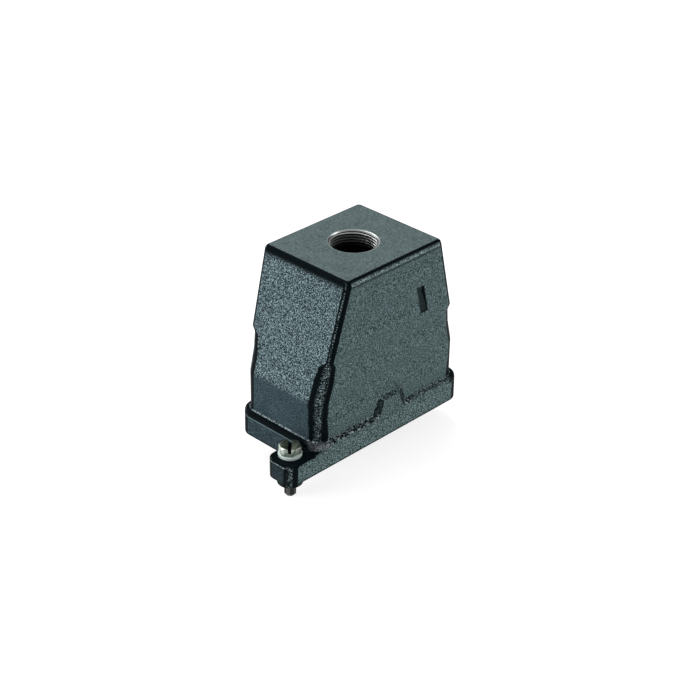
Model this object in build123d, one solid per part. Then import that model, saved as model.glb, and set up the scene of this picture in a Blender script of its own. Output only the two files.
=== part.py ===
from build123d import *
import os
from math import cos, radians, sin

# Heavy-duty connector hood with a cable entry in the top, all sizes in millimetres.
# Origin: centre of the mating plane. X along the long side, Z up, the rim of the flange at Z = 0.
# The casting looks the same after half a turn about Z, apart from the mark recess on one long face.

# Body of the casting
hood_height = 99.0            # mating plane to flat top
body_length = 100.8           # over the upright end panels
top_length = 66.8             # flat top, measured to its sharp corners
top_width = 59.0
side_inset = 3.05             # how far each long face leans in from the top down to the flange
end_panel_height = 35.0       # where the upright end panels start to slope
step_height = 58.0            # where each upright corner steps back
step_drop = 3.0               # height of the sloping underside of that step
head_corner_radius = 3.2      # upright corners above the step
top_edge_radius = 3.0
low_corner_depth_y = 7.6      # rounding of the upright corners below the step, across the ends
low_corner_depth_x = 8.0      # and along the long faces, down at the flange
deep_corner_height = 47.0     # from the end panels up to here they are deepest
deep_corner_depth_y = 9.4
deep_corner_depth_x = 8.6
step_corner_depth_x = 6.5     # and along the long faces, just below the step
side_wall = 4.5
top_wall = 5.0
cavity_corner_radius = 3.5

# Flange round the foot of the body
flange_end_rim = 2.5          # how far it stands out from the end panels
flange_side_rim = 2.15        # and from the foot of the long faces
flange_corner_radius = 8.0
flange_side_height = 10.5     # upright outer face
foot_height = 14.0            # top of the round shoulder between the flange and the body
shoulder_curve = 0.6          # 1 for a quarter of an ellipse, less for a fuller shoulder
foot_bevel = 0.6              # where that shoulder meets the body
shoulder_steps = 4            # flats that make up the shoulder

# Screw ears at two diagonal corners
screw_end_margin = 8.5        # end face of the flange to the screw axis
screw_side_margin = 10.6      # long face of the flange to the screw axis
ear_end_margin = 9.9          # screw axis to the end of the ear
ear_side_margin = 7.7         # screw axis to the inner side of the ear
ear_outer_radius = 6.0
ear_inner_radius = 6.0
ear_root_radius = 4.5
ear_chamfer = 0.7             # upper edge of the ears
boss_radius = 6.5             # round boss under each ear
boss_height = 5.8             # how far it stands below the mating plane
boss_edge = 0.5

# Cable entry M25 x 1.5 in the top
entry_thread = 25.0
entry_pitch = 1.5
entry_length = 8.0
entry_boss_wall = 3.5
entry_mouth_margin = 0.4      # chamfered mouth outside the thread

# Posts inside for the contact insert
insert_spacing_x = 57.0
insert_spacing_y = 27.0
insert_hole = 3.3             # tapping size of M4
insert_hole_depth = 12.0
post_width = 9.0
post_margin = 4.5             # screw axis to the inner face of its post
post_face_height = 12.0
post_edge_radius = 1.5

# Pry bump in the middle of each long side
bump_base = 21.0
bump_tip = 10.0
bump_top_height = 21.5
bump_sink = 3.0               # its foot below the upper edge of the flange
bump_slope = 1.8              # how fast its top and sides grow for each mm towards the body

# Slanted mark recess on the visible long face, parallel to the sloping end
mark_width = 5.5
mark_foot_height = 61.5
mark_head_height = 77.6
mark_end_margin = 20.7        # sloping end to the middle of the recess
mark_depth = 0.8

# Rubber seal in the rim
seal_width = 3.0
seal_height = 2.9
seal_groove_depth = 2.4
seal_clearance = 0.1
seal_corner_radius = 6.0

# Locking screws M6 x 25, slotted hexagon head
screw_thread = 6.0
screw_length = 25.0
screw_tip_chamfer = 0.9
screw_shank = 5.4             # plain part between the clip and the head
head_across_flats = 10.0
head_height = 4.0
crown_inset = 0.25            # flat top of the head inside its flats
crown_slope = 0.5             # fall of the chamfered top edge for each mm outwards
slot_width = 1.8
slot_depth = 2.0
slot_angle = 44.0
screw_clearance = 0.3         # round the screw in its ear

# Flat washers under the heads
washer_outer = 12.0
washer_clearance = 0.2        # round the screw
washer_thickness = 1.6

# Retaining clips that keep the screws captive
clip_outer = 9.3
clip_relief = 6.6
clip_inner = 4.0
clip_thickness = 0.7
clip_opening = 3.4
clip_tooth_width = 1.8
clip_height = 0.85            # lower face above the mating plane
clip_clearance = 0.05         # to the groove of the screw
counterbore_clearance = 0.35  # round the clip
counterbore_top = 5.5         # above the mating plane, the stop of the lifted clip

# Sizes that follow
foot_width = top_width - 2 * side_inset
flange_length = body_length + 2 * flange_end_rim
flange_width = foot_width + 2 * flange_side_rim
screw_x = flange_length / 2 + screw_end_margin
screw_y = flange_width / 2 - screw_side_margin
entry_bore = entry_thread - entry_pitch
ceiling_height = hood_height - top_wall
end_slope = (body_length - top_length) / 2 / (hood_height - end_panel_height)
side_lean = (top_width - foot_width) / 2 / (hood_height - foot_height)
overcut = 1.0                 # how far a cutting tool runs past the face it cuts


def half_length(z):
    """Half length of the body at height z: upright end panels, sloping above them."""
    return body_length / 2 - end_slope * max(0.0, z - end_panel_height)


def half_width(z):
    """Half width of the body at height z: long faces that lean out towards the top."""
    return foot_width / 2 + side_lean * (z - foot_height)


def rounded_outline(hx, hy, rx, ry):
    """Rectangle of half sizes hx and hy whose corners are quarter ellipses of depths rx and ry."""
    places = ((1, -1, 270), (1, 1, 0), (-1, 1, 90), (-1, -1, 180))
    arcs = [
        EllipticalCenterArc((sx * (hx - rx), sy * (hy - ry)), rx, ry, start_angle=start, arc_size=90)
        for sx, sy, start in places
    ]
    sides = [Line(arcs[i] @ 1, arcs[(i + 1) % 4] @ 0) for i in range(4)]
    return make_face(Curve() + arcs + sides)


def body_section(z, rx, ry, inset=0.0):
    """Cross-section of the body at height z, drawn in by inset for the cavity."""
    return Pos(0, 0, z) * rounded_outline(half_length(z) - inset, half_width(z) - inset, rx, ry)


def both_ways(shape):
    """The shape and its copy turned half round the Z axis."""
    return shape + Rot(0, 0, 180) * shape


def at_height(shape, z):
    """Edges of the shape that lie wholly at height z."""
    return shape.edges().filter_by_position(Axis.Z, z - 0.01, z + 0.01)


def corner_pair(outline, x, y):
    """The corner of a flat outline nearest to x, y and the one half a turn away from it."""
    return [outline.vertices().sort_by_distance((sx * x, sx * y, 0))[0] for sx in (1, -1)]


def flat_sided(low, high, radius, inset=0.0):
    """Block of the body's outline between two heights, drawn in by inset, with round upright edges."""
    ends = [(half_length(z) - inset, z) for z in (low, high)]
    sides = [(half_width(z) - inset, z) for z in (low, high)]
    blocks = []
    for plane, (foot, head) in ((Plane.XZ, ends), (Plane.YZ, sides)):
        outline = Polyline((-foot[0], low), foot, head, (-head[0], high), close=True)
        blocks.append(extrude(plane * make_face(outline), body_length, both=True))
    block = blocks[0] & blocks[1]
    return fillet(block.edges() - at_height(block, low) - at_height(block, high), radius)


def make_body():
    """Outside of the body: lower part with deep round corners, head with sharper ones."""
    head = flat_sided(step_height, hood_height, head_corner_radius)
    lower = loft(
        [
            body_section(0, low_corner_depth_x, low_corner_depth_y),
            body_section(foot_height + foot_bevel, low_corner_depth_x, low_corner_depth_y),
            body_section(end_panel_height, deep_corner_depth_x, deep_corner_depth_y),
            body_section(deep_corner_height, deep_corner_depth_x, deep_corner_depth_y),
            body_section(step_height - step_drop, step_corner_depth_x, low_corner_depth_y),
            head.faces().sort_by(Axis.Z)[0],
        ],
        ruled=True,
    )
    head = fillet(at_height(head, hood_height), top_edge_radius)
    return lower + head


def shoulder_section(share):
    """Outline of the flange's round shoulder, from share 0 at its lower edge to 1 at the body."""
    angle = radians(90 * share)
    inward = 1 - max(0.0, cos(angle)) ** shoulder_curve
    rise = (foot_height - flange_side_height) * sin(angle) ** shoulder_curve
    low = (flange_length / 2, flange_width / 2, flange_corner_radius, flange_corner_radius)
    body_x = half_length(foot_height) + foot_bevel
    body_y = half_width(foot_height) + foot_bevel
    high = (body_x, body_y, low_corner_depth_x, low_corner_depth_y)
    sizes = [a + (b - a) * inward for a, b in zip(low, high)]
    return Pos(0, 0, flange_side_height + rise) * rounded_outline(*sizes)


def make_flange():
    """Flange with its two screw ears and the round shoulder that meets the body."""
    ear_end = screw_x + ear_end_margin
    ear_inner = screw_y - ear_side_margin
    ear = Pos(-ear_end / 2, -(flange_width / 2 + ear_inner) / 2) * Rectangle(
        ear_end, flange_width / 2 - ear_inner
    )
    rim = RectangleRounded(flange_length, flange_width, flange_corner_radius)
    outline = both_ways(ear) + rim
    outline = fillet(corner_pair(outline, -flange_length / 2, -ear_inner), ear_root_radius)
    outline = fillet(corner_pair(outline, -ear_end, -flange_width / 2), ear_outer_radius)
    outline = fillet(corner_pair(outline, -ear_end, -ear_inner), ear_inner_radius)
    plate = extrude(outline, flange_side_height)
    plate = chamfer(at_height(plate, flange_side_height), ear_chamfer)
    sections = [shoulder_section(i / shoulder_steps) for i in range(shoulder_steps + 1)]
    sections.append(body_section(foot_height + foot_bevel, low_corner_depth_x, low_corner_depth_y))
    return plate + extrude(rim, flange_side_height) + loft(sections, ruled=True)


def bump_outline(y, grow):
    """Trapezoid of a pry bump in the upright plane at y, grown by grow at its sides and top."""
    foot = flange_side_height - bump_sink
    base = bump_base / 2 + grow
    tip = bump_tip / 2 + grow
    top = bump_top_height + grow
    points = [(-base, foot, 0), (base, foot, 0), (tip, top, 0), (-tip, top, 0)]
    upright = Plane(origin=(0, y, 0), x_dir=(1, 0, 0), z_dir=(0, -1, 0))
    return upright * make_face(Polyline(*points, close=True))


def make_bumps():
    """Pry bumps on both long sides, flush with the outer face of the flange."""
    inner_y = half_width(flange_side_height) - overcut
    grow = bump_slope * (flange_width / 2 - inner_y)
    front = loft([bump_outline(-flange_width / 2, 0), bump_outline(-inner_y, grow)], ruled=True)
    return both_ways(front)


def make_cavity():
    """Hollow of the hood, open at the rim, with the entry boss and the insert posts left standing."""
    radius = cavity_corner_radius
    upper = flat_sided(end_panel_height, ceiling_height, radius, side_wall)
    lower = loft(
        [body_section(-overcut, radius, radius, side_wall), upper.faces().sort_by(Axis.Z)[0]],
        ruled=True,
    )
    hollow = upper + lower
    boss = Pos(0, 0, hood_height - entry_length) * Cylinder(
        entry_thread / 2 + entry_boss_wall, entry_length, align=(Align.CENTER, Align.CENTER, Align.MIN)
    )
    hollow = hollow - boss
    inner_y = insert_spacing_y / 2 - post_margin
    outer_y = half_width(hood_height)
    tall = hood_height - post_face_height
    for sx in (-1, 1):
        for sy in (-1, 1):
            post = Pos(
                sx * insert_spacing_x / 2, sy * (inner_y + outer_y) / 2, post_face_height + tall / 2
            ) * Box(post_width, outer_y - inner_y, tall)
            hollow = hollow - fillet(inner_uprights(post, sy), post_edge_radius)
    return hollow


def inner_uprights(post, sy):
    """The two upright edges of a post that face the middle of the hood."""
    uprights = post.edges().filter_by(Axis.Z).sort_by(Axis.Y)
    return uprights[:2] if sy > 0 else uprights[-2:]


def make_entry():
    """Tapping bore of the cable entry with its chamfered mouth."""
    bore_radius = entry_bore / 2
    mouth = (entry_thread - entry_bore) / 2 + entry_mouth_margin
    top = hood_height
    low = hood_height - entry_length - overcut
    profile = Polyline(
        (0, low),
        (bore_radius, low),
        (bore_radius, top - mouth),
        (bore_radius + mouth + overcut, top + overcut),
        (0, top + overcut),
        close=True,
    )
    return revolve(Plane.XZ * make_face(profile), Axis.Z)


def make_insert_holes():
    """Tapping holes in the four posts, open at the post faces."""
    hole = Cylinder(
        insert_hole / 2, insert_hole_depth + overcut, align=(Align.CENTER, Align.CENTER, Align.MIN)
    )
    places = [
        Pos(sx * insert_spacing_x / 2, sy * insert_spacing_y / 2, post_face_height - overcut)
        for sx in (-1, 1)
        for sy in (-1, 1)
    ]
    return [place * hole for place in places]


def make_boss():
    """Round boss under the left ear, with its lower edge chamfered."""
    boss = Pos(-screw_x, -screw_y, -boss_height) * Cylinder(
        boss_radius, boss_height + overcut, align=(Align.CENTER, Align.CENTER, Align.MIN)
    )
    return chamfer(at_height(boss, -boss_height), boss_edge)


def make_screw_hole():
    """Clearance hole of the left ear and boss with the counterbore for its clip."""
    low = -boss_height - overcut
    hole = Cylinder(
        screw_thread / 2 + screw_clearance,
        flange_side_height + overcut - low,
        align=(Align.CENTER, Align.CENTER, Align.MIN),
    )
    sink = Cylinder(
        clip_outer / 2 + counterbore_clearance,
        counterbore_top - low,
        align=(Align.CENTER, Align.CENTER, Align.MIN),
    )
    return Pos(-screw_x, -screw_y, low) * (hole + sink)


def seal_ring(width, height, low):
    """Closed rounded band of the given width, midway between the cavity and the flange's outside."""
    mid_x = (half_length(0) - side_wall + flange_length / 2) / 2
    mid_y = (half_width(0) - side_wall + flange_width / 2) / 2
    outer = RectangleRounded(2 * mid_x + width, 2 * mid_y + width, seal_corner_radius + width / 2)
    inner = RectangleRounded(2 * mid_x - width, 2 * mid_y - width, seal_corner_radius - width / 2)
    return Pos(0, 0, low) * extrude(outer - inner, height)


def make_mark():
    """Slanted recess on the long face at -Y, mark_depth deep at its foot."""
    rise = mark_head_height - mark_foot_height
    lean = -end_slope * rise
    left = half_length(mark_foot_height) - mark_end_margin - mark_width / 2
    right = left + mark_width
    points = [
        (left, mark_foot_height, 0),
        (right, mark_foot_height, 0),
        (right + lean, mark_head_height, 0),
        (left + lean, mark_head_height, 0),
    ]
    floor_y = half_width(mark_foot_height) - mark_depth
    floor = Plane(origin=(0, -floor_y, 0), x_dir=(1, 0, 0), z_dir=(0, -1, 0))
    return extrude(floor * make_face(Polyline(*points, close=True)), mark_depth + overcut)


def make_hood_shell():
    """The whole aluminium casting."""
    shell = make_body() + make_flange() + make_bumps() + both_ways(make_boss())
    shell = shell - make_cavity() - make_entry() - make_mark()
    for hole in make_insert_holes():
        shell = shell - hole
    shell = shell - both_ways(make_screw_hole())
    groove_width = seal_width + 2 * seal_clearance
    return shell - seal_ring(groove_width, seal_groove_depth + overcut, -overcut)


def make_rim_seal():
    """Rubber seal that fills its groove and stands a little proud of the rim."""
    return seal_ring(seal_width, seal_height, seal_groove_depth - seal_height)


def make_screw():
    """Left locking screw: chamfered hexagon head with a through slot, shank with the clip groove."""
    seat = flange_side_height + washer_thickness
    radius = screw_thread / 2
    groove_radius = clip_inner / 2 - clip_clearance
    groove_low = clip_height - clip_clearance
    groove_high = clip_height + clip_thickness + clip_clearance
    tip = seat - screw_length
    shank = Polyline(
        (0, tip),
        (radius - screw_tip_chamfer, tip),
        (radius, tip + screw_tip_chamfer),
        (radius, groove_low),
        (groove_radius, groove_low),
        (groove_radius, groove_high),
        (screw_shank / 2, groove_high),
        (screw_shank / 2, seat),
        (0, seat),
        close=True,
    )
    corner_radius = head_across_flats / 3**0.5
    crown_radius = head_across_flats / 2 - crown_inset
    crown_drop = crown_slope * (corner_radius - crown_radius)
    hexagon = extrude(RegularPolygon(head_across_flats / 2, 6, major_radius=False), head_height)
    crown = Polyline(
        (0, 0),
        (corner_radius + overcut, 0),
        (corner_radius + overcut, head_height - crown_drop - crown_slope * overcut),
        (crown_radius, head_height),
        (0, head_height),
        close=True,
    )
    head = Pos(0, 0, seat) * (hexagon & revolve(Plane.XZ * make_face(crown), Axis.Z))
    slot = Pos(0, 0, seat + head_height) * Rot(0, 0, slot_angle) * Box(
        2 * corner_radius + overcut, slot_width, 2 * slot_depth
    )
    screw = revolve(Plane.XZ * make_face(shank), Axis.Z) + head - slot
    return Pos(-screw_x, -screw_y) * screw


def make_washer():
    """Left washer, flat on its ear."""
    ring = extrude(Circle(washer_outer / 2) - Circle(screw_thread / 2 + washer_clearance), washer_thickness)
    return Pos(-screw_x, -screw_y, flange_side_height) * ring


def make_clip():
    """Left retaining clip: open ring whose three teeth sit in the groove of the screw."""
    ring = Circle(clip_outer / 2) - Circle(clip_relief / 2)
    reach = (clip_outer + clip_relief) / 4
    for angle in (70, 180, 290):
        ring += Rot(0, 0, angle) * Pos(reach / 2, 0) * Rectangle(reach, clip_tooth_width)
    ring -= Circle(clip_inner / 2)
    ring -= Pos(clip_outer / 2, 0) * Rectangle(clip_outer, clip_opening)
    return Pos(-screw_x, -screw_y, clip_height) * extrude(ring, clip_thickness)


def turned(shape):
    """The same piece at the other ear, half a turn round the Z axis."""
    return Rot(0, 0, 180) * shape


pieces = {
    "hood_shell": make_hood_shell(),
    "rim_seal": make_rim_seal(),
    "locking_screw_left": make_screw(),
    "locking_screw_right": turned(make_screw()),
    "washer_left": make_washer(),
    "washer_right": turned(make_washer()),
    "retaining_clip_left": make_clip(),
    "retaining_clip_right": turned(make_clip()),
}

os.makedirs("parts", exist_ok=True)
for name, piece in pieces.items():
    export_step(piece, f"parts/{name}.step")
    print(name, round(piece.volume, 1), [round(v, 2) for v in piece.bounding_box().size])
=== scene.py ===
# %% [markdown]
# # Heavy-duty connector hood
#
# A hood like this is die-cast in aluminium, powder-coated black, and then drilled and tapped, so the
# cable entry in its top is bare metal. The CAD part already has the casting, the seal, the screws,
# the washers and the clips in their right places. This notebook gives them what CAD leaves out: real
# threads, softened edges, and finishes that look like paint, zinc and rubber.
#
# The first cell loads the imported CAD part. Its nodes are a fixed frame: nothing here moves them.

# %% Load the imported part
import math

import bmesh
import bpy
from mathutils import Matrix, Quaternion, Vector


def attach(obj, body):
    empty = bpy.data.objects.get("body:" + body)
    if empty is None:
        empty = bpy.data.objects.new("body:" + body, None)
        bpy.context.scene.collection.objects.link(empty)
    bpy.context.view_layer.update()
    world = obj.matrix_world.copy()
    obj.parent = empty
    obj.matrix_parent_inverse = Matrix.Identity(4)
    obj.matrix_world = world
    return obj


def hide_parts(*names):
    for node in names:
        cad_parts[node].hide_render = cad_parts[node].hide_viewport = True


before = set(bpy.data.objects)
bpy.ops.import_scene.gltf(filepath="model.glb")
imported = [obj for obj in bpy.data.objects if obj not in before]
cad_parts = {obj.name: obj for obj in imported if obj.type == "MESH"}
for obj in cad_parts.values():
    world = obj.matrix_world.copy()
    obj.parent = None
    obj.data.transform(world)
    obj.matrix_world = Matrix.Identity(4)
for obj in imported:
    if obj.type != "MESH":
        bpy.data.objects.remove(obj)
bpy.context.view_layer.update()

print("CAD nodes:", ", ".join(sorted(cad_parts)))

# %% [markdown]
# Blender works in metres and the hood's sizes are in millimetres, so lengths are written in
# millimetres and multiplied by MM. These sizes repeat the ones of the CAD part that several steps
# need. A size that only one step needs stands at the head of that step. Every one is a named value,
# so that a changed hood needs a change in one place only.

# %% Sizes of the hood
MM = 0.001

HOOD_HEIGHT = 99.0
FOOT_HEIGHT = 14.0         # top of the flange's round shoulder
FLANGE_HEIGHT = 10.5       # top of the flange's upright face

ENTRY_DEPTH = 8.0
ENTRY_MOUTH = 12.9         # radius of the countersunk mouth
ENTRY_CHAMFER = 0.8        # height of the countersink

SCREW_X, SCREW_Y = 61.4, 18.0
SCREW_TIP = -12.9
WASHER_THICKNESS = 1.6
print("hood:", HOOD_HEIGHT, "mm high, screw tips at", SCREW_TIP, "mm")

# %% [markdown]
# The camera comes first, because everything else is judged through it. A catalogue photograph is
# taken with a long lens from above one corner. The lens, the place and the small tilt here were
# worked out from the corners of the hood, so a point of the model lands on its own pixel.

# %% Camera
AZIMUTH, ELEVATION, TILT = -46.091, 30.317, 0.802      # degrees
DISTANCE = 0.930147                                    # metres from the aim
LENS, SENSOR = 94.024, 36.0
AIM = Vector((-0.695, 0.695, 36.876)) * MM

azimuth, rise = math.radians(AZIMUTH), math.radians(ELEVATION)
back = Vector((
    math.sin(azimuth) * math.cos(rise),
    -math.cos(azimuth) * math.cos(rise),
    math.sin(rise),
))
camera = bpy.data.objects.new("camera", bpy.data.cameras.new("camera"))
bpy.context.scene.collection.objects.link(camera)
bpy.context.scene.camera = camera
camera.location = AIM + back * DISTANCE
camera.rotation_mode = "QUATERNION"
tilt = Quaternion((0, 0, 1), math.radians(TILT))
camera.rotation_quaternion = (-back).to_track_quat("-Z", "Y") @ tilt
camera.data.lens = LENS
camera.data.sensor_width = SENSOR
camera.data.clip_start, camera.data.clip_end = 0.01, 20.0
print("camera at", [round(v / MM, 1) for v in camera.location], "mm")

# %% [markdown]
# ## Finishes
#
# A finish is a graph of shader nodes. Wired by hand in code, even a small sum takes a dozen lines, so
# a small class stands for one wire of the graph and knows how to add, subtract, multiply and compare.
# After that, `1 - mask` in Python makes the right Math node, and a finish reads like a formula.

# %% Shader maths in plain Python
class Wire:
    """The output of a shader node, usable in Python sums."""

    def __init__(self, finish, socket):
        self.finish, self.socket = finish, socket

    def math(self, operation, *others):
        values = dict(enumerate((self, *others)))
        return self.finish.node("Math", {"operation": operation}, values)

    def __add__(self, other):
        return self.math("ADD", other)

    def __sub__(self, other):
        return self.math("SUBTRACT", other)

    def __rsub__(self, other):
        return self.finish.node("Math", {"operation": "SUBTRACT"}, {0: other, 1: self})

    def __mul__(self, other):
        return self.math("MULTIPLY", other)

    def __abs__(self):
        return self.math("ABSOLUTE")

    __radd__, __rmul__ = __add__, __mul__

    def at_least(self, other):
        return self.math("MAXIMUM", other)

    def at_most(self, other):
        return self.math("MINIMUM", other)

    def step(self, start, end):
        """0 before start, 1 after end, and a soft change between them."""
        sockets = {"Value": self, "From Min": start, "From Max": end}
        return self.finish.node("MapRange", {"interpolation_type": "SMOOTHSTEP"}, sockets)

    def between(self, low, high, soft=0.1):
        """1 from low to high, with a soft change of that width outside them."""
        return self.step(low - soft, low) * (1 - self.step(high, high + soft))


def strongest(*masks):
    """The highest of several masks."""
    highest = masks[0]
    for mask in masks[1:]:
        highest = highest.at_least(mask)
    return highest


def from_centre(x, y):
    """How far a point is from the Z axis."""
    return (x * x + y * y).math("SQRT")


print("wires can be added, multiplied and compared")

# %% [markdown]
# The second class is a material being made. One method adds any node: it takes the node's type, its
# settings, and the values or wires of its sockets. The others are short names for the few nodes that
# every finish here needs.

# %% A material being made
class Finish:
    """A material being made, with one method for all its nodes."""

    def __init__(self, name):
        self.material = bpy.data.materials.new(name)
        self.material.use_nodes = True
        self.tree = self.material.node_tree
        self.tree.nodes.clear()

    def node(self, kind, settings=None, sockets=None, output=0):
        """Adds a node: its type, its settings, then the values or wires of its sockets."""
        made = self.tree.nodes.new("ShaderNode" + kind)
        for name, value in (settings or {}).items():
            setattr(made, name, value)
        for name, value in (sockets or {}).items():
            if isinstance(value, Wire):
                self.tree.links.new(value.socket, made.inputs[name])
            else:
                made.inputs[name].default_value = value
        return Wire(self, made.outputs[output]) if made.outputs else None

    def place(self):
        """Object coordinates in millimetres."""
        metres = self.node("TexCoord", output="Object")
        return self.node("VectorMath", {"operation": "SCALE"}, {0: metres, "Scale": 1 / MM})

    def axes(self, vector):
        """The x, y and z of a place or a direction, each as a wire."""
        split = self.node("SeparateXYZ", sockets={0: vector}).socket.node
        return [Wire(self, split.outputs[i]) for i in range(3)]

    def noise(self, place, grain, detail=2.0):
        """Soft noise whose grains are about that many millimetres across."""
        return self.node("TexNoise", sockets={"Vector": place, "Scale": 1 / grain, "Detail": detail})

    def stripes(self, along, scale, detail):
        """Noise that only changes along one wire."""
        sockets = {"W": along, "Scale": scale, "Detail": detail}
        return self.node("TexNoise", {"noise_dimensions": "1D"}, sockets)

    def mix(self, factor, first, second):
        """A colour between two others."""
        values = {0: factor, 6: first, 7: second}
        return self.node("Mix", {"data_type": "RGBA"}, values, output=2)

    def bump(self, height, distance):
        """Tilts the surface as if it stood up by distance millimetres where height is 1."""
        return self.node("Bump", sockets={"Height": height, "Distance": distance * MM, "Strength": 1.0})

    def shade(self, **sockets):
        """Ends the graph in a Principled shader and gives back the finished material."""
        named = {name.replace("_", " "): value for name, value in sockets.items()}
        shader = self.node("BsdfPrincipled", sockets=named)
        self.node("OutputMaterial", sockets={"Surface": shader})
        return self.material


def srgb(*screen):
    """A colour given as it looks on a screen, 0 to 255, as the light values that shaders work with."""
    shares = [value / 255 for value in screen]
    return (*[((v + 0.055) / 1.055) ** 2.4 if v > 0.04 else v / 12.92 for v in shares], 1.0)


print("a middle grey on the screen is", round(srgb(128, 128, 128)[0], 3), "as light")

# %% [markdown]
# ## Powder coat
#
# The casting has a black powder coat. Powder is sprayed on dry and melted in an oven, so it flows
# smooth on machined tops and keeps a coarse orange-peel skin on the cast sides. The skin is two things
# at once: bumps of about a millimetre, and lighter grains where the tops of the bumps catch the light,
# painted as highlights. The round edges are smoother, and they are painted far darker, as painted shade
# and reflection.
#
# Each zone gets a mask: a wire that is 1 in the zone and 0 outside it. Masks are worked out from the
# part's own sizes and from the way the surface faces, so they sit exactly on the casting. First come
# the wires that all masks share. A gap is how far a point lies inside one flat of the body: nothing
# on that flat, and more on a round edge or in a hollow.

# %% Where a point of the casting lies
HALF_LENGTH = 50.4         # body, over the upright end panels
END_SLOPE = 0.2656         # how much the ends draw in for each mm upwards
PANEL_HEIGHT = 35.0        # top of the upright end panels
HALF_FOOT_WIDTH = 26.45    # body, where it meets the flange
SIDE_LEAN = 0.0359         # how much the long faces lean out for each mm upwards
INNER_WALL = (3.4, 3.8)    # deeper than this under every flat is the inside of the hood

paint = Finish("powder_coat")
point = paint.place()
x, y, z = paint.axes(point)
east, north, up = paint.axes(paint.node("TexCoord", output="Normal"))
east, north = abs(east), abs(north)

half_length = HALF_LENGTH - END_SLOPE * (z - PANEL_HEIGHT).at_least(0.0)
half_width = HALF_FOOT_WIDTH + SIDE_LEAN * (z - FOOT_HEIGHT)
end_gap = half_length - abs(x)
side_gap = half_width - abs(y)
top_gap = HOOD_HEIGHT - z
# Further on, the inside of the hood is painted black, as painted shade.
inside = end_gap.at_most(side_gap).at_most(top_gap).step(*INNER_WALL)
print("place and gaps:", len(paint.tree.nodes), "nodes")

# %% [markdown]
# Noise makes the skin. Two fine noises are added, one for the bumps and one for a finer speckle on
# them; the skin also drives the painted highlights of the grains. A wide one makes the slow patches
# that an oven leaves, and a middle one makes the short dashes of painted shade and painted highlight
# along the seam at the foot. Noise lies about 0.5, so half is taken away and the skin swings about
# zero: above it a point catches the light, and below it lies in a dip.

# %% Orange-peel skin
PEEL_GRAIN, SPECKLE_GRAIN, PATCH_GRAIN, DASH_GRAIN = 0.7, 0.38, 9.0, 1.15    # across, in millimetres
SKIN_SWING = 1.3

peel = paint.noise(point, PEEL_GRAIN, detail=1.0)
# A finer speckle on the bumps, which also drives the painted highlights of the grains.
fine_speckle = paint.noise(point, SPECKLE_GRAIN, detail=1.0)
skin = (peel - 0.5) * SKIN_SWING + (fine_speckle - 0.5) * SKIN_SWING
patches = paint.noise(point, PATCH_GRAIN)
# Dashes that choose between painted shade and painted highlight along the seam at the foot.
dark_dashes = (paint.noise(point, DASH_GRAIN, detail=0.0) - 0.5).step(-0.04, 0.06)
print("with the skin:", len(paint.tree.nodes), "nodes")

# %% [markdown]
# The flats come next. The ends and the long faces are told apart by the way they face. The machined
# top, the upright end panels and the ends of the flange are smooth. The ears stand at the two corners
# where x and y have the same sign, so the product of x and y finds them.

# %% Flats and ears
PANEL_FADE = 3.0                       # height over which the end panels turn coarse
EAR_START = 53.5                       # the ears lie further out than this
EAR_FOOT = (13.0, 15.0)                # y beside the foot of an ear
EAR_GLINT = (FLANGE_HEIGHT - 1.2, FLANGE_HEIGHT - 0.8, 0.2)

to_end = (east - north).step(-0.05, 0.05)
to_side = 1 - to_end
top_flat = top_gap.between(-0.1, 0.12, 0.05)
panel = to_end * z.between(FOOT_HEIGHT, PANEL_HEIGHT - 1.0, PANEL_FADE)
flange_end = to_end * (1 - z.step(FLANGE_HEIGHT - 0.1, FLANGE_HEIGHT))
smooth = panel.at_least(flange_end)

ear = abs(x).step(EAR_START, EAR_START + 0.5)
ear_corner = (x * y).step(0.0, 200.0)
by_ear = (x * y).step(*[EAR_START * across for across in EAR_FOOT])
# The up-facing faces of the ears are painted dark, as painted shade, and a small painted highlight lies
# on the top edge of each ear's end.
ear_top_shade = ear * up.step(0.3, 0.5)
ear_glint = ear * to_end * z.between(*EAR_GLINT) * skin.step(-0.1, 0.2)
print("with flats and ears:", len(paint.tree.nodes), "nodes")

# %% [markdown]
# An upright corner is round, so it faces an end and a long face at once. `east * north` says how much:
# nothing on a flat and 0.5 in the middle of the corner. The corner is painted black, as painted shade
# and reflection, and a painted highlight runs down its middle as a speckled streak. Above the step the
# corner is small, and its streak is narrower and lies nearer the end.

# %% Round corners
STEP_HEIGHT = 58.0                     # the corners step back above this
STEP_DROP = 3.0                        # height of the sloping underside of the step
CORNER_EDGE = (0.07, 0.17)             # east * north, from flat to corner
SOFT_CORNER = (28.0, 54.0, 12.0)       # heights where it runs out softly on the long faces
STREAK_EDGE = (0.1, 0.45)              # how far the streak reaches from its middle

softer = 0.12 * to_side * z.between(*SOFT_CORNER)
# The round corner is painted black, as painted shade and reflection.
corner = (east * north - softer).step(*CORNER_EDGE)
above_step = z.step(STEP_HEIGHT - STEP_DROP, STEP_HEIGHT)
off_streak = abs(east - north - 0.1 - 0.25 * above_step) + 0.12 * above_step
# A painted highlight runs down the middle of the corner as a speckled streak.
highlight_streak = (1 - off_streak.step(*STREAK_EDGE)) * skin.step(0.0, 0.25)
print("with corners:", len(paint.tree.nodes), "nodes")

# %% [markdown]
# The top edge is round as well, and it is painted dark, as painted shade and reflection: a broad band
# at the ends and a narrow one on the long faces. Below the narrow one come a painted highlight and a
# thin line of painted shade. Round the entry, the tool that cut the mouth has left a ring of bare
# metal.

# %% Top edge
END_BAND = (2.3, 5.4)                  # gaps below the top
SIDE_BAND = (0.8, 1.6)
SIDE_GLINT = (1.9, 2.6, 0.3)
SIDE_CREASE = (3.3, 4.1, 0.4)
RING_EDGE = (ENTRY_MOUTH + 0.15, ENTRY_MOUTH + 0.25)

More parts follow.
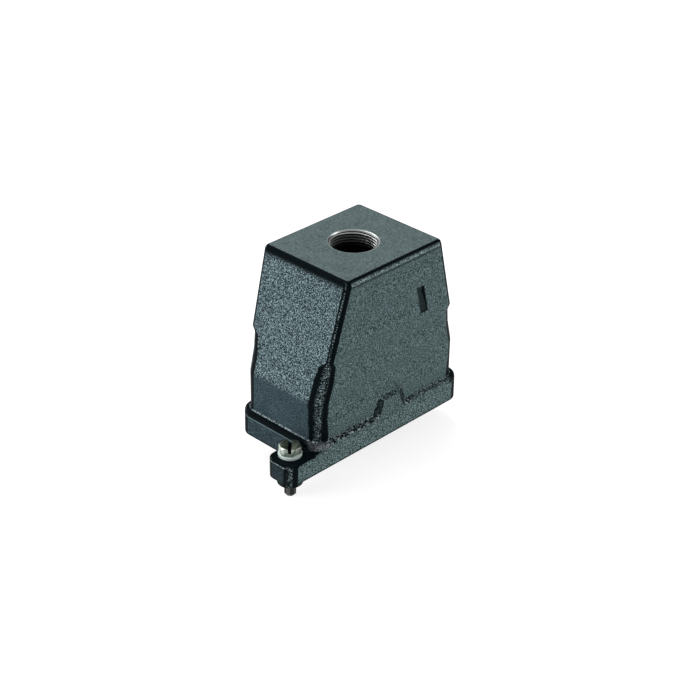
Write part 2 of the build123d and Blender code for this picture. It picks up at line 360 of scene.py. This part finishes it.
# Painted shade along the round top edge; on the long faces, a painted highlight and a thin line of
# painted shade below it.
end_edge_shade = to_end * (1 - top_gap.step(*END_BAND))
side_edge_shade = to_side * (1 - top_gap.step(*SIDE_BAND))
side_glint = to_side * top_gap.between(*SIDE_GLINT)
side_line_shade = to_side * top_gap.between(*SIDE_CREASE)
bare_ring = top_flat * (1 - from_centre(x, y).step(*RING_EDGE))
print("with the top edge:", len(paint.tree.nodes), "nodes")

# %% [markdown]
# At the foot, the body meets the round shoulder of the flange. At the ends the shoulder is painted
# black, as painted shade and reflection, with a painted highlight as a bright line above it and a grey
# painted highlight below. Along the long faces there is only a seam of painted shade and painted
# highlight in short dashes, which is fainter on the right and stops at the flush front of the pry bump.

# %% Foot line, seam and crease
FOOT_LINE = (FOOT_HEIGHT + 0.05, FOOT_HEIGHT + 0.55)
SEAM = (12.5, 14.9, 0.5)
SEAM_FADE = (8.0, 20.0)                # x over which the seam grows fainter
BUMP_FLUSH = (9.0, 9.5)                # the bump's front is flush with the flange up to here

# A painted highlight along the foot of the ends.
foot_glint = to_end * z.between(*FOOT_LINE) * (1 - ear) * (0.4 + skin * 2.0)
foot_glint = foot_glint * (side_gap + 8.0 * ear_corner).step(2.0, 6.0)
flush = (1 - abs(x).step(*BUMP_FLUSH)) * (1 - side_gap.step(-2.0, -1.8))
# Painted shade and painted highlight in dashes along the seam of the long faces.
seam = to_side * z.between(*SEAM) * (1 - ear) * (1 - flush) * (1 - x.step(*SEAM_FADE) * 0.4)
# A painted highlight on the crease at the top of the flange's end.
crease = to_end * z.between(FLANGE_HEIGHT - 0.1, FLANGE_HEIGHT + 0.3)
crease = crease * (1 - ear) * (1 - by_ear) * (1 - inside)
print("with lines at the foot:", len(paint.tree.nodes), "nodes")

# %% [markdown]
# The shoulder's own masks follow. Its corners are painted black as well, as painted shade and
# reflection, apart from a painted highlight, a lighter grey patch, at the two that carry an ear. Level
# surfaces low on the casting and its bottom edge are painted dark too, as painted shade.

# %% Shoulder of the flange
SHOULDER = (FLANGE_HEIGHT + 0.4, FOOT_HEIGHT - 0.05)
CORNER_REACH = (4.0, 9.0)              # gaps over which a corner of the shoulder ends
LEVEL = (0.88, 0.96)                   # how far a surface faces upwards
LOW_PART = (30.0, 31.0)
BOTTOM_EDGE = (0.5, 1.3)

# Painted shade on the round shoulder at the ends, at its corners and beside each screw, on level
# surfaces low on the casting and on the bottom edge.
end_shoulder = to_end * z.between(*SHOULDER) * (1 - corner)
ledge_shade = up.step(*LEVEL) * (1 - z.step(*LOW_PART))
bottom_edge_shade = 1 - z.step(*BOTTOM_EDGE)
screw_side_shade = by_ear * to_end * z.between(FLANGE_HEIGHT - 0.5, FOOT_HEIGHT)

corner_foot = corner * z.between(FLANGE_HEIGHT, FOOT_HEIGHT + 0.2, 0.3)
shoulder_corner = (1 - end_gap.step(*CORNER_REACH)) * (1 - side_gap.step(*CORNER_REACH))
shoulder_corner = shoulder_corner * z.between(FLANGE_HEIGHT + 0.4, FOOT_HEIGHT, 0.3)
# A painted highlight, a lighter grey patch, on the shoulder corners by the ears.
patch_highlight = shoulder_corner * ear_corner * end_gap.step(-2.5, -1.5) * skin.step(-0.25, 0.15)
print("with the shoulder:", len(paint.tree.nodes), "nodes")

# %% [markdown]
# Two small features are left. A pry bump stands in the middle of each long side, and its slopes are
# painted half dark and grainy, as painted shade. The sunk mark recess is on one long face, and a margin
# is added to its width so that its walls are dark too. With them, the corner's painted shade gets its
# final strength: weaker on the bumps.

# %% Pry bumps and mark recess
BUMP_REACH = (16.0, 17.0)              # the bumps end here, to each side of the middle
BUMP_HEIGHTS = (8.0, 27.0)
SLOPE_FACING = (0.25, 0.4)             # how far a slope faces sideways or upwards
MARK_MARGIN = 20.7                     # sloping end to the middle of the mark recess
MARK_HEIGHTS = (61.4, 77.7)
MARK_EDGE = (2.9, 3.0)                 # half its width, with the margin
MARK_SINK = (0.15, 0.3)                # depth below the long face

on_bump = (1 - abs(x).step(*BUMP_REACH)) * z.between(*BUMP_HEIGHTS) * (1 - north.step(0.9, 0.98))
# The bump's slopes are painted half dark, as painted shade.
bump_side_shade = on_bump * east.step(*SLOPE_FACING) * (0.55 - skin * 2.4)
bump_top_shade = on_bump * up.step(*SLOPE_FACING) * (0.5 - skin * 1.6)
# The corner's painted shade, weaker on the bumps.
corner_shade = corner * (1 - on_bump * 0.3)

from_mark = abs(x - half_length + MARK_MARGIN)
mark = side_gap.step(*MARK_SINK) * (1 - from_mark.step(*MARK_EDGE)) * z.between(*MARK_HEIGHTS)
print("with bumps and recess:", len(paint.tree.nodes), "nodes")

# %% [markdown]
# Now the masks choose between colours. Each coarse colour is a mix of a dip and a grain, driven by the
# skin, and the lighter grain is a painted highlight. The number times the skin sets how hard the grains
# stand out, and the number added sets how many there are. The ends get lighter grains than the long
# faces, as painted light from the left. The flange's long faces are coarser than the body's.

# %% Colours of the coat
FLANGE_RELIEF, BODY_RELIEF = 3.4, 1.5
BLACK = srgb(4, 12, 15)
PATCH_HIGHLIGHT = srgb(112, 116, 122)
CREASE_HIGHLIGHT = srgb(92, 112, 117)
BARE_METAL = srgb(142, 148, 148)

on_body = z.step(FLANGE_HEIGHT - 1.0, FLANGE_HEIGHT + 2.0)
relief = FLANGE_RELIEF - (FLANGE_RELIEF - BODY_RELIEF) * on_body
side_colour = paint.mix(skin * relief + 0.32, srgb(30, 45, 46), srgb(126, 148, 150))
# The ends are painted lighter than the long faces, as painted light from the left.
lit_end_colour = paint.mix(skin * 2.2 + 0.2, srgb(24, 35, 38), srgb(147, 172, 178))
glint_colour = paint.mix(skin * 2.5 + 0.5, srgb(44, 54, 58), srgb(190, 206, 210))
slate = paint.mix(patches * 0.5 + skin * 1.6 + 0.2, srgb(22, 34, 39), srgb(71, 89, 96))
top_colour = paint.mix(peel * 2.0 + patches * 0.5 - 0.75, srgb(59, 72, 74), srgb(101, 115, 116))
print("with colours:", len(paint.tree.nodes), "nodes")

# %% [markdown]
# The layers go on in order, from wide to fine: the coarse faces, the smooth flats, everything painted
# dark, most of it painted shade and reflection, and last the painted highlights, the top and the thin
# lines. The same skin also tilts the surface, so the grains are real bumps to the light. The smooth
# zones are calmed down to almost nothing.

# %% Powder coat, layer by layer
SKIN_HEIGHT, CALM = 0.2, 0.93

# Everything painted dark, most of it painted shade and reflection; later layers add the painted
# highlights.
dark = strongest(
    end_edge_shade, side_edge_shade, side_line_shade * 0.55,
    end_shoulder, shoulder_corner * (1 - ear_corner), screw_side_shade * (0.8 - skin),
    ear_top_shade, ear * to_end * 0.55, flange_end * 0.15,
    ledge_shade, bottom_edge_shade * 0.7, seam * dark_dashes * 0.95,
    bump_side_shade, bump_top_shade, mark * 0.8, inside,
    corner_shade * (1 - highlight_streak * 0.8) * (1 - corner_foot * 0.8),
)
fine_glints = (corner_shade * highlight_streak * 0.2).at_least(ear_glint * 0.5)

colour = paint.mix(to_end, side_colour, lit_end_colour)
colour = paint.mix(side_glint * (0.3 + skin * 1.2), colour, glint_colour)
colour = paint.mix(smooth, colour, slate)
colour = paint.mix(foot_glint.at_least(seam * (1 - dark_dashes) * 0.5), colour, glint_colour)
colour = paint.mix(dark, colour, BLACK)
colour = paint.mix(fine_glints, colour, glint_colour)
colour = paint.mix(patch_highlight * 0.6, colour, PATCH_HIGHLIGHT)
colour = paint.mix(top_flat, colour, top_colour)
colour = paint.mix(bare_ring, colour, BARE_METAL)
colour = paint.mix(crease * 0.8, colour, CREASE_HIGHLIGHT)

calm = strongest(smooth, top_flat, ledge_shade, end_shoulder, crease)
coat = paint.shade(
    Base_Color=colour,
    Roughness=0.45 + 0.12 * patches,
    Normal=paint.bump(skin * (1 - calm * CALM), SKIN_HEIGHT),
    Specular_IOR_Level=0.02,
)
print("powder coat:", len(coat.node_tree.nodes), "nodes")

# %% [markdown]
# ## Metals and rubber
#
# The screws and washers are steel with a thin bright zinc plating, which is slightly milky. The flat of
# the head is painted darker than its sides, as painted shade, its slot is painted dark, as painted
# shade, and the shank shows upright dark stripes of painted reflection, as a shiny cylinder does. The
# masks use the heights of the pieces and the distance from the screw's own axis. Both screws lie alike
# about the middle, so the sizes of x and y serve for both.

# %% Zinc plating
WASHER_TOP = FLANGE_HEIGHT + WASHER_THICKNESS
HEAD_TOP = 16.1
SLOT_ANGLE, SLOT_HALF_WIDTH, SLOT_DEPTH = math.radians(44.0), 0.9, 2.0


def zinc_plating():
    zinc = Finish("zinc_plating")
    place = zinc.place()
    x, y, z = zinc.axes(place)
    from_axis_x, from_axis_y = abs(x) - SCREW_X, abs(y) - SCREW_Y
    around = from_axis_y.math("ARCTAN2", from_axis_x)
    cloud = zinc.noise(place, grain=2.2, detail=3.0)
    grain = zinc.noise(place, grain=0.12)
    reflection_stripes = zinc.stripes(around, scale=2.6, detail=1.0).step(0.35, 0.65)

    face = z.step(HEAD_TOP - 0.1, HEAD_TOP - 0.03)
    slot_floor = HEAD_TOP - SLOT_DEPTH
    across = abs(from_axis_y * math.cos(SLOT_ANGLE) - from_axis_x * math.sin(SLOT_ANGLE))
    slot = 1 - across.step(SLOT_HALF_WIDTH + 0.01, SLOT_HALF_WIDTH + 0.05)
    slot = slot * z.step(slot_floor - 0.2, slot_floor - 0.1) * (1 - face)
    washer = 1 - z.step(WASHER_TOP + 0.02, WASHER_TOP + 0.06)
    shank = 1 - z.step(FLANGE_HEIGHT - 0.3, FLANGE_HEIGHT - 0.1)

    # Painted shade on the head's flat and in the slot, and stripes of painted reflection on the shank.
    side_zinc = zinc.mix(cloud, srgb(140, 154, 143), srgb(196, 206, 196))
    face_shade_zinc = zinc.mix(cloud, srgb(84, 92, 78), srgb(128, 134, 116))
    washer_zinc = zinc.mix(cloud, srgb(186, 202, 198), srgb(212, 226, 222))
    shank_reflection_zinc = zinc.mix(reflection_stripes, srgb(20, 20, 22), srgb(128, 129, 130))
    colour = zinc.mix(face, side_zinc, face_shade_zinc)
    colour = zinc.mix(washer, colour, washer_zinc)
    colour = zinc.mix(shank, colour, shank_reflection_zinc)
    colour = zinc.mix(slot, colour, srgb(10, 11, 12))
    milky = washer - shank
    return zinc.shade(
        Base_Color=colour,
        Metallic=1.0 - 0.75 * milky,
        Roughness=0.26 + 0.14 * cloud + 0.2 * milky,
        Normal=zinc.bump(grain, 0.012),
    )


zinc = zinc_plating()
print("zinc plating:", len(zinc.node_tree.nodes), "nodes")

# %% [markdown]
# The thread in the top is bare aluminium, cut by the tap after painting, with fine rings left by the
# tool. The valleys between its crests are painted darker, and so is its deep end: painted shade, where
# little light comes.

# %% Bare aluminium
THREAD_TOP = HOOD_HEIGHT - ENTRY_CHAMFER
DEEP_END = (HOOD_HEIGHT - 7.2, HOOD_HEIGHT - 5.2)
VALLEY_EDGE = (11.95, 12.35)           # radius from crest to valley
COUNTERSINK_EDGE = (12.3, 12.5)


def bare_aluminium():
    metal = Finish("bare_aluminium")
    place = metal.place()
    x, y, z = metal.axes(place)
    radius = from_centre(x, y)
    rings = metal.stripes(z, scale=9.0, detail=2.0)
    cloud = metal.noise(place, grain=3.0)
    above_thread = z.step(THREAD_TOP - 0.05, THREAD_TOP + 0.05)
    valley_shade = radius.step(*VALLEY_EDGE) * (1 - above_thread)
    countersink = above_thread * (1 - radius.step(*COUNTERSINK_EDGE))
    deep_shade = 0.9 - 0.9 * z.step(*DEEP_END)

    colour = metal.mix(cloud, srgb(174, 178, 177), srgb(212, 216, 215))
    # Painted shade in the thread's valleys and at its deep end.
    colour = metal.mix(valley_shade, colour, srgb(62, 66, 64))
    colour = metal.mix(countersink, colour, srgb(120, 124, 122))
    colour = metal.mix(deep_shade, colour, srgb(14, 15, 15))
    return metal.shade(
        Base_Color=colour,
        Metallic=1.0,
        Roughness=0.3 + 0.12 * rings,
        Normal=metal.bump(rings, 0.01),
    )


aluminium = bare_aluminium()
print("bare aluminium:", len(aluminium.node_tree.nodes), "nodes")

# %% [markdown]
# The clips are dark spring steel and the seal is rubber. Both are hardly seen, so a cloudy colour is
# enough, with a fine grain on the rubber.

# %% Spring steel and rubber
def spring_steel():
    steel = Finish("spring_steel")
    cloud = steel.noise(steel.place(), grain=1.4, detail=3.0)
    colour = steel.mix(cloud, srgb(62, 62, 64), srgb(104, 104, 106))
    return steel.shade(Base_Color=colour, Metallic=1.0, Roughness=0.34 + 0.14 * cloud)


def seal_rubber():
    rubber = Finish("seal_rubber_black")
    place = rubber.place()
    cloud = rubber.noise(place, grain=3.0)
    grain = rubber.noise(place, grain=0.2)
    return rubber.shade(
        Base_Color=rubber.mix(cloud, srgb(26, 27, 28), srgb(40, 41, 42)),
        Roughness=0.62 + 0.14 * cloud,
        Normal=rubber.bump(grain, 0.02),
    )


spring, rubber = spring_steel(), seal_rubber()
print("finishes:", ", ".join(m.name for m in (coat, zinc, aluminium, spring, rubber)))

# %% [markdown]
# ## Pieces
#
# A piece is built in a bmesh, Blender's editable mesh, and turned into an object at the end. The
# object stays at the origin, because its place is already in its points. Edges sharper than a
# set angle stay sharp, all others are shaded smooth, and big flat faces decide how the light runs.
#
# The CAD nodes are loose triangles, so a copy of one has its double points merged before use.

# %% From bmesh to piece
MERGE = 0.002 * MM         # points closer than this are one


def piece(name, bm, finish, body, sharp=32.0):
    """Makes an object of a finished bmesh, with its finish and the body that carries it."""
    mesh = bpy.data.meshes.new(name)
    bm.to_mesh(mesh)
    bm.free()
    mesh.materials.append(finish)
    mesh.shade_smooth()
    mesh.set_sharp_from_angle(angle=math.radians(sharp))
    made = bpy.data.objects.new(name, mesh)
    bpy.context.scene.collection.objects.link(made)
    made.modifiers.new("flat faces lead", "WEIGHTED_NORMAL").keep_sharp = True
    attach(made, body)
    print(name, "has", len(mesh.polygons), "faces")
    return made


def copied(node):
    """A bmesh of a CAD node with its loose triangles joined."""
    bm = bmesh.new()
    bm.from_mesh(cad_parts[node].data)
    bmesh.ops.remove_doubles(bm, verts=bm.verts[:], dist=MERGE)
    print(node, "copied with", len(bm.verts), "points")
    return bm


# %% [markdown]
# The casting keeps the shape of its CAD node. Only the bore in the top changes: the CAD part has a
# plain hole at tapping size, and the real one has a thread cut into its wall. So the copy's hole is
# opened up to make room, and a threaded ring fills it in the next step.

# %% Casting
casting = copied("hood_shell")
bore_bottom = (HOOD_HEIGHT - ENTRY_DEPTH - 0.1) * MM
for vert in casting.verts:
    radius = vert.co.xy.length
    if vert.co.z > bore_bottom and radius < (ENTRY_MOUTH + 0.02) * MM:
        vert.co.xy *= ENTRY_MOUTH * MM / radius
hood = piece("hood_casting", casting, coat, "hood")
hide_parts("hood_shell")

# %% [markdown]
# A thread is one profile that climbs as it turns. The spin operator does exactly that: it turns an
# edge about an axis and moves it by a small step each time. Here the profile is a stack of teeth, and
# a single turn that climbs by one pitch is enough, because each tooth ends where the next one began.
# Two cuts trim the ends flat, and their open rims are then pulled to round end faces.

# %% Thread helper
def thread(crest, root, pitch, low, high, steps=72, flat=0.15):
    """An open threaded tube round the Z axis between two heights, all in millimetres."""
    teeth = math.ceil((high - low) / pitch) + 2
    corners = ((0.0, root), (0.5 - flat, crest), (0.5 + flat, crest), (1.0 - flat / 2, root))
    bm = bmesh.new()
    line = [
        bm.verts.new(Vector((radius, 0, low + (tooth - 1.5 + share) * pitch)) * MM)
        for tooth in range(teeth)
        for share, radius in corners
    ]
    edges = [bm.edges.new(pair) for pair in zip(line, line[1:])]
    bmesh.ops.spin(
        bm,
        geom=line + edges,
        cent=(0, 0, 0),
        axis=(0, 0, 1),
        dvec=Vector((0, 0, pitch / steps)) * MM,
        angle=2 * math.pi,
        steps=steps,
    )
    bmesh.ops.remove_doubles(bm, verts=bm.verts[:], dist=MERGE)
    for height, normal in ((low, (0, 0, -1)), (high, (0, 0, 1))):
        everything = bm.verts[:] + bm.edges[:] + bm.faces[:]
        bmesh.ops.bisect_plane(
            bm, geom=everything, plane_co=(0, 0, height * MM), plane_no=normal, clear_outer=True
        )
    print("thread with", teeth, "teeth:", len(bm.faces), "faces")
    return bm


def edges_of(geometry):
    """The edges among what an operator gives back."""
    return [e for e in geometry if isinstance(e, bmesh.types.BMEdge)]


def rim(bm, height):
    """The edges of an open rim at that height."""
    open_edges = [e for e in bm.edges if e.is_boundary]
    return [e for e in open_edges if all(abs(v.co.z - height * MM) < 1e-6 for v in e.verts)]


def pulled(bm, edges, radius, height):
    """Pulls an open rim to a circle of that radius at that height and gives back the new rim."""
    made = bmesh.ops.extrude_edge_only(bm, edges=edges)["geom"]
    for vert in (v for v in made if isinstance(v, bmesh.types.BMVert)):
        vert.co.xy = vert.co.xy.normalized() * radius * MM
        vert.co.z = height * MM
    return [e for e in edges_of(made) if e.is_boundary]


# %% [markdown]
# The entry takes an M25 gland with a pitch of 1.5 mm. Its thread ring has a countersunk mouth and a
# plain outside that sits in the opened hole.

# %% Thread of the cable entry
ENTRY_CREST, ENTRY_ROOT, ENTRY_PITCH = 11.72, 12.55, 1.5
ENTRY_LOW = HOOD_HEIGHT - ENTRY_DEPTH

ring = thread(ENTRY_CREST, ENTRY_ROOT, ENTRY_PITCH, low=ENTRY_LOW, high=THREAD_TOP)
mouth = pulled(ring, rim(ring, THREAD_TOP), ENTRY_MOUTH, HOOD_HEIGHT)
foot = pulled(ring, rim(ring, ENTRY_LOW), ENTRY_MOUTH, ENTRY_LOW)
bmesh.ops.bridge_loops(ring, edges=mouth + foot)
bmesh.ops.recalc_face_normals(ring, faces=ring.faces[:])
piece("entry_thread", ring, aluminium, "hood", sharp=25.0)

# %% [markdown]
# Each screw keeps the head and the plain shank of its CAD node. Below the clip it gets an M6 thread
# with a pitch of 1 mm. The CAD copy is cut in the middle of the clip groove, where nothing shows, and
# the threaded end starts there. Both halves are made round the Z axis, where a thread is easy to turn.

# %% Halves of a locking screw
CLIP_GROOVE = (0.8, 1.6)               # heights of its two sides
CLIP_GROOVE_RADIUS = 1.95
CUT_HEIGHT = sum(CLIP_GROOVE) / 2
SCREW_CREST, SCREW_ROOT, SCREW_PITCH = 3.0, 2.42, 1.0
TIP_CHAMFER, TIP_RADIUS = 0.9, 2.15


def screw_axis(sign):
    """Where the axis of the left or the right screw stands, for a sign of -1 or 1."""
    return Vector((sign * SCREW_X, sign * SCREW_Y, 0)) * MM


def screw_head(node, axis):
    """The upper half of a CAD screw, moved to the Z axis and closed at the cut."""
    bm = copied(node)
    bmesh.ops.translate(bm, verts=bm.verts[:], vec=-axis)
    cut = bmesh.ops.bisect_plane(
        bm,
        geom=bm.verts[:] + bm.edges[:] + bm.faces[:],
        plane_co=(0, 0, CUT_HEIGHT * MM),
        plane_no=(0, 0, -1),
        clear_outer=True,
    )["geom_cut"]
    bmesh.ops.contextual_create(bm, geom=edges_of(cut))
    return bm


def screw_shank():
    """The threaded end with a chamfered tip, closed at both ends."""
    low, high = SCREW_TIP + TIP_CHAMFER, CLIP_GROOVE[0]
    bm = thread(SCREW_CREST, SCREW_ROOT, SCREW_PITCH, low, high, steps=48)
    tip = pulled(bm, rim(bm, low), TIP_RADIUS, SCREW_TIP)
    shoulder = pulled(bm, rim(bm, high), CLIP_GROOVE_RADIUS, high)
    neck = pulled(bm, shoulder, CLIP_GROOVE_RADIUS, CUT_HEIGHT)
    for end in (tip, neck):
        bmesh.ops.contextual_create(bm, geom=end)
    bmesh.ops.recalc_face_normals(bm, faces=bm.faces[:])
    return bm


print("screws are cut", round(CUT_HEIGHT, 2), "mm above the rim")

# %% [markdown]
# The two halves go into one mesh, which is then moved back to its own ear. Left and right are alike,
# so one function makes both. Each screw rides on its own body, because it lifts and turns by itself.

# %% Locking screws
def locking_screw(side, sign):
    axis = screw_axis(sign)
    screw = screw_head("locking_screw_" + side, axis)
    shank = screw_shank()
    joined = bpy.data.meshes.new("shank")
    shank.to_mesh(joined)
    shank.free()
    screw.from_mesh(joined)
    bpy.data.meshes.remove(joined)
    bmesh.ops.translate(screw, verts=screw.verts[:], vec=axis)
    made = piece("threaded_screw_" + side, screw, zinc, "screw_" + side, sharp=25.0)
    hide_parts("locking_screw_" + side)


for side, sign in (("left", -1), ("right", 1)):
    locking_screw(side, sign)

# %% [markdown]
# A stamped washer has soft upper edges and sharp lower ones. The simplest way to make it is to turn
# its small cross-section once round the screw.

# %% Washers
WASHER_OUTER, WASHER_INNER = 6.0, 3.2  # radii
WASHER_EDGE = 0.25                     # size of the soft edge


def washer(side, sign):
    flat = WASHER_THICKNESS - WASHER_EDGE
    section = (
        (WASHER_INNER, 0),
        (WASHER_OUTER, 0),
        (WASHER_OUTER, flat),
        (WASHER_OUTER - WASHER_EDGE, WASHER_THICKNESS),
        (WASHER_INNER + WASHER_EDGE, WASHER_THICKNESS),
        (WASHER_INNER, flat),
    )
    bm = bmesh.new()
    corners = [bm.verts.new(Vector((r, 0, FLANGE_HEIGHT + h)) * MM) for r, h in section]
    edges = [bm.edges.new(pair) for pair in zip(corners, corners[1:] + corners[:1])]
    bmesh.ops.spin(
        bm, geom=corners + edges, cent=(0, 0, 0), axis=(0, 0, 1), dvec=(0, 0, 0),
        angle=2 * math.pi, steps=72, use_merge=True,
    )
    bmesh.ops.recalc_face_normals(bm, faces=bm.faces[:])
    bmesh.ops.translate(bm, verts=bm.verts[:], vec=screw_axis(sign))
    made = piece("flat_washer_" + side, bm, zinc, "hood")
    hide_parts("washer_" + side)


for side, sign in (("left", -1), ("right", 1)):
    washer(side, sign)

# %% [markdown]
# The seal and the clips already have the right shape in CAD, so they only get a finish.

# %% Finishes of the CAD nodes that stay
for node, finish in (
    ("rim_seal", rubber),
    ("retaining_clip_left", spring),
    ("retaining_clip_right", spring),
):
    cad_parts[node].material_slots[0].material = finish
    print(node, "gets", finish.name)

# %% [markdown]
# ## Studio
#
# The floor is plain and pale, and it gives off a little light of its own, like the lit paper of a
# photo table. That keeps it white and leaves only a faint shadow under the hood. It lies just below
# the screw tips, which are the lowest points of the part.

# %% Floor
FLOOR_DROP = 0.05                      # below the screw tips
FLOOR_GLOW = 0.8
PALE, WHITE = (0.4, 0.4, 0.4, 1.0), (1.0, 1.0, 1.0, 1.0)

floor_mesh = bmesh.new()
bmesh.ops.create_grid(floor_mesh, x_segments=1, y_segments=1, size=3.0)
floor_height = (SCREW_TIP - FLOOR_DROP) * MM
bmesh.ops.translate(floor_mesh, verts=floor_mesh.verts[:], vec=(0, 0, floor_height))
floor_data = bpy.data.meshes.new("floor")
floor_mesh.to_mesh(floor_data)
floor_mesh.free()
floor = bpy.data.objects.new("floor", floor_data)
bpy.context.scene.collection.objects.link(floor)
paper = Finish("pale_paper")
floor_data.materials.append(paper.shade(
    Base_Color=PALE, Roughness=0.9, Emission_Color=WHITE, Emission_Strength=FLOOR_GLOW
))
print("floor at", round(floor_height / MM, 2), "mm")

# %% [markdown]
# A product photograph of a black part needs large soft lights: black paint shows the lights more than
# its own colour. One softbox above and behind brightens the top, one on the left brightens the sloping
# end, and a weaker one on the right opens up the long face. The standard view keeps white paper white.

# %% World and lights
WORLD_STRENGTH = 0.4
MIDDLE = Vector((0, 0, 0.05))          # what the lights are aimed at

world = bpy.data.worlds.new("studio")
bpy.context.scene.world = world
world.use_nodes = True
background = world.node_tree.nodes["Background"]
background.inputs["Color"].default_value = WHITE
background.inputs["Strength"].default_value = WORLD_STRENGTH


def softbox(name, place, size, power):
    """A square soft light, in metres and watts, aimed at the middle of the hood."""
    light = bpy.data.lights.new(name, "AREA")
    light.shape, light.size, light.energy = "SQUARE", size, power
    made = bpy.data.objects.new(name, light)
    bpy.context.scene.collection.objects.link(made)
    made.location = place
    made.rotation_mode = "QUATERNION"
    made.rotation_quaternion = (MIDDLE - Vector(place)).to_track_quat("-Z", "Y")
    print(name, "gives", power, "W")


softbox("light_above", place=(0.15, 0.5, 0.9), size=0.7, power=8.0)
softbox("light_left", place=(-0.9, 0.35, 0.45), size=0.6, power=6.0)
softbox("light_right", place=(0.6, -0.75, 0.35), size=0.5, power=2.0)
bpy.context.scene.view_settings.view_transform = "Standard"
